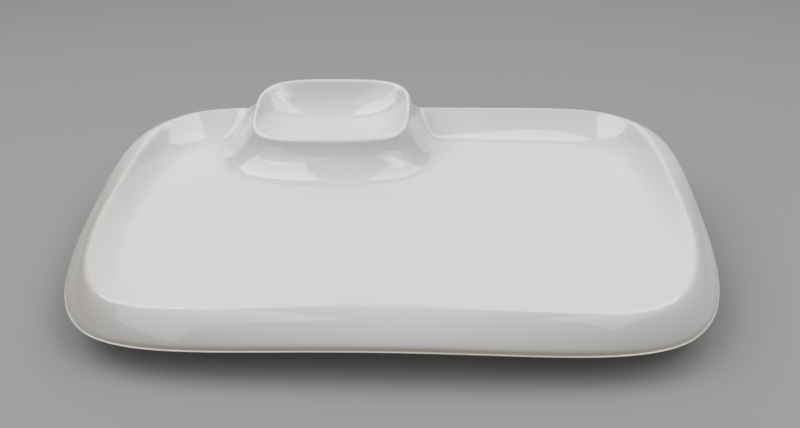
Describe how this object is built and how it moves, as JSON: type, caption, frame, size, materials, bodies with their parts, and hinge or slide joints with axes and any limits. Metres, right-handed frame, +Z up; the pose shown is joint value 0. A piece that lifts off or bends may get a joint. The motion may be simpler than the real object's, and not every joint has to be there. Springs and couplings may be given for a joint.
{
  "type": "rectangular plate",
  "caption": "Rounded rectangular glazed porcelain serving plate with a wave-shaped rim and a raised oval dip bowl on its back edge, standing on an unglazed foot ring.",
  "frame": {"origin": "on the table, under the middle of the plate's outline", "axes": "+X along the plate's length to the right, +Y from the front edge to the back edge with the dip bowl, +Z up"},
  "size_m": [0.32, 0.212, 0.0638],
  "materials": {
    "glazed_porcelain": "clear gloss glaze over white porcelain",
    "bisque_porcelain": "unglazed, ground flat where it stands"
  },
  "bodies": {
    "root": {"tray": "glazed_porcelain", "dip_bowl": "glazed_porcelain", "foot_ring": "bisque_porcelain"}
  },
  "joints": []
}
